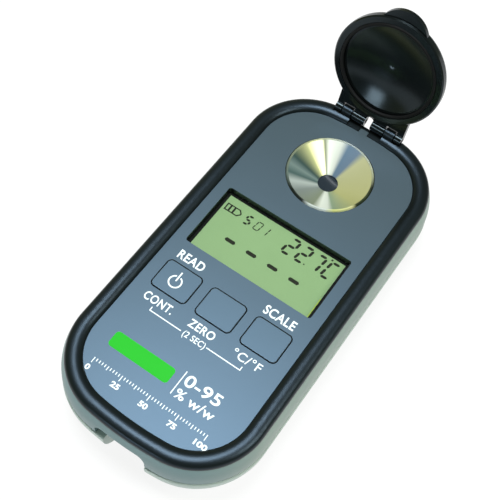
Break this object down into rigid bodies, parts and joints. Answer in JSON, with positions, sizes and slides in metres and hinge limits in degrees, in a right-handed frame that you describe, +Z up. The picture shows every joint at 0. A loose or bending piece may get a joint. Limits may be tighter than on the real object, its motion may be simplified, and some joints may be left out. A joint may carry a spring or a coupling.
{
  "type": "handheld digital refractometer",
  "caption": "Pocket digital refractometer: sample dish under a hinged lid, display window, push keys and a battery cover below.",
  "frame": {"origin": "middle of the flat underside", "axes": "+Z up out of the keypad face, +Y towards the lid hinge, +X to the right as the keys are read"},
  "size_m": [0.0586, 0.1262, 0.0607],
  "materials": {
    "case_grey": "satin moulded plastic",
    "bezel_black": "satin black plastic",
    "keypad_sheet": "fine matte printed sheet",
    "seal_rubber": "matte rubber",
    "steel": "plated steel",
    "label": "plain printed label",
    "key_grey": "fine matte keycap",
    "clear_window": "clear acrylic",
    "display_glass": "reflective display glass",
    "inner_black": "matte black",
    "polished_steel": "turned and polished steel",
    "prism_glass": "dark polished glass",
    "lamp_resin": "clear resin",
    "chip_black": "moulded package",
    "board_green": "coated board",
    "battery_skin": "plain cell sleeve",
    "lid_black": "glossy black plastic"
  },
  "bodies": {
    "body": {"lower_housing": "case_grey", "upper_shell": "case_grey", "top_bezel": "bezel_black", "keypad_sheet": "keypad_sheet", "case_seal": "seal_rubber", "strap_bar": "steel", "rating_label": "label", "key_domes": "steel", "display_window": "clear_window", "display_panel": "display_glass", "display_frame": "inner_black", "display_contacts": "seal_rubber", "sample_dish": "polished_steel", "dish_gasket": "seal_rubber", "prism": "prism_glass", "prism_seal": "seal_rubber", "optics_block": "inner_black", "led": "lamp_resin", "lens": "clear_window", "line_sensor": "chip_black", "sensor_board": "board_green", "temperature_sensor": "chip_black", "block_fixings": "steel", "main_board": "board_green", "controller_chip": "chip_black", "board_components": "chip_black", "board_fixings": "steel", "battery": "battery_skin", "battery_plate": "steel", "battery_spring": "steel", "case_screws": "steel"},
    "lid": {"lid": "lid_black", "lid_seal": "seal_rubber", "hinge_pins": "steel"},
    "read_key": {"read_key": "key_grey"},
    "zero_key": {"zero_key": "key_grey"},
    "scale_key": {"scale_key": "key_grey"},
    "battery_cover": {"battery_cover": "case_grey", "cover_seal": "seal_rubber"},
    "cover_screw": {"cover_screw": "steel"}
  },
  "joints": [
    {"name": "lid_hinge", "type": "hinge", "parent": "body", "child": "lid", "pos_m": [0, 0.057, 0.0225], "axis": [1, 0, 0], "range_deg": [0, 103]},
    {"name": "read_key_press", "type": "slide", "parent": "body", "child": "read_key", "axis": [0, 0, -1], "range_m": [0, 0.0004], "stiffness_N_per_m": 3000},
    {"name": "zero_key_press", "type": "slide", "parent": "body", "child": "zero_key", "axis": [0, 0, -1], "range_m": [0, 0.0004], "stiffness_N_per_m": 3000},
    {"name": "scale_key_press", "type": "slide", "parent": "body", "child": "scale_key", "axis": [0, 0, -1], "range_m": [0, 0.0004], "stiffness_N_per_m": 3000},
    {"name": "battery_cover_lift", "type": "slide", "parent": "body", "child": "battery_cover", "axis": [0, 0, -1], "range_m": [0, 0.03]},
    {"name": "cover_screw_turn", "type": "hinge", "parent": "battery_cover", "child": "cover_screw", "pos_m": [0, 0.012, 0], "axis": [0, 0, 1], "continuous": true}
  ]
}
